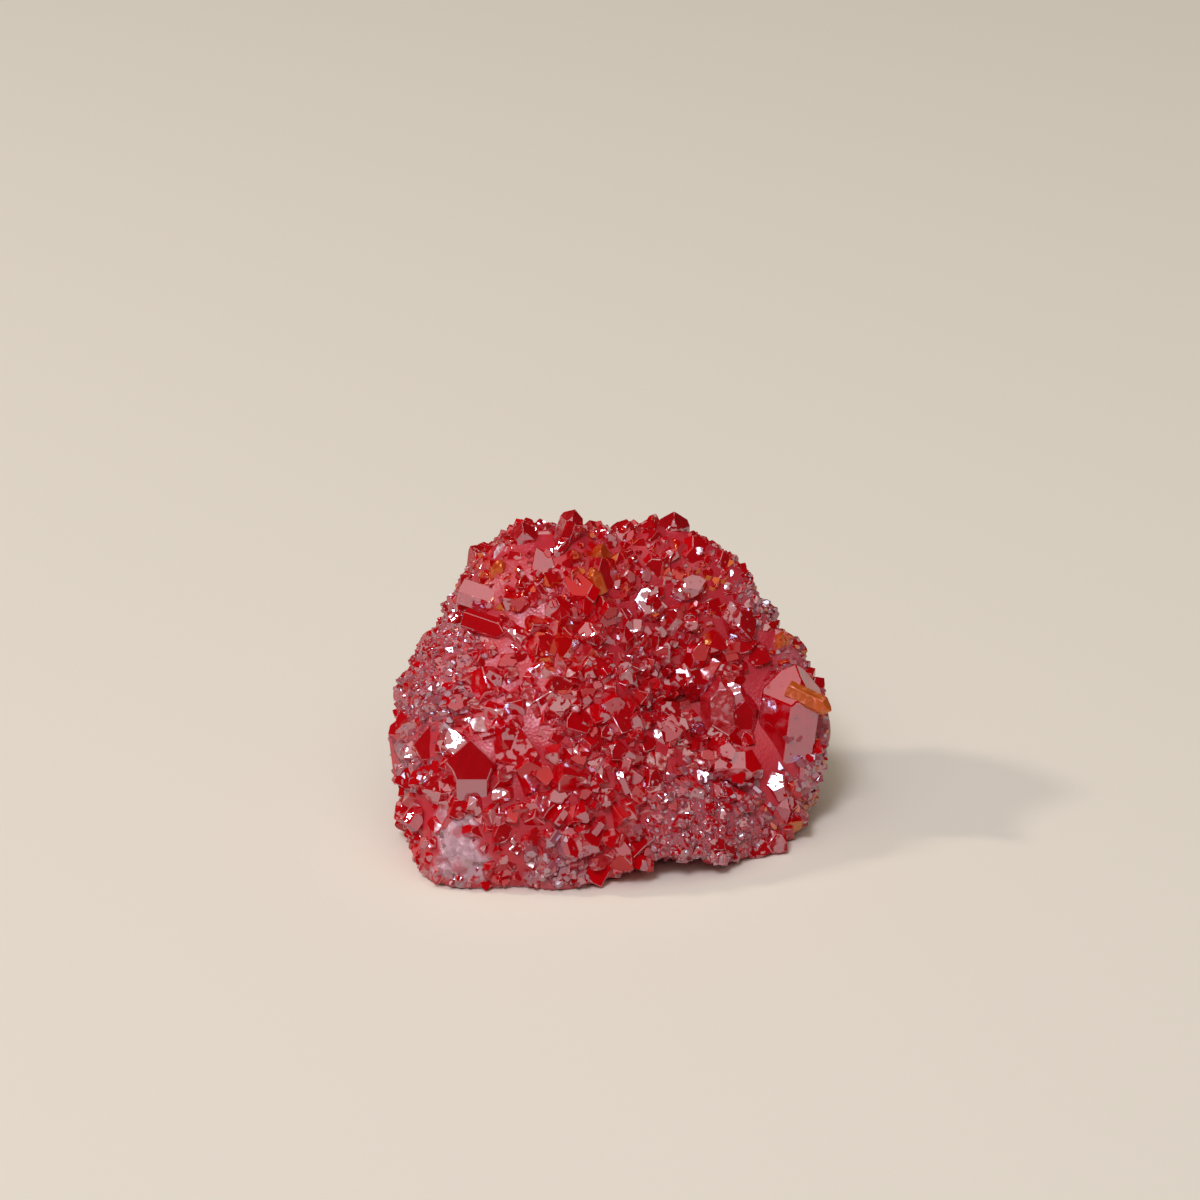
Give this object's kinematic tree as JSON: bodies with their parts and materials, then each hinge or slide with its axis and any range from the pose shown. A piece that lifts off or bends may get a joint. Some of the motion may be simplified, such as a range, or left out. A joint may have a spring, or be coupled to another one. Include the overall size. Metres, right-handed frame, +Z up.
{
  "type": "geode",
  "caption": "Hand-sized piece of geode: a mound of quartz covered all over with crystals grown together, glassy red with points along its crest, resting on a flat broken base.",
  "frame": {"origin": "on the flat broken base, under the middle of the mound", "axes": "+Z up, +X along the piece's width to the viewer's right, -Y towards the viewer"},
  "size_m": [0.0742, 0.0535, 0.0545],
  "materials": {
    "quartz": "gloss"
  },
  "bodies": {
    "root": {"quartz_geode": "quartz"}
  },
  "joints": []
}
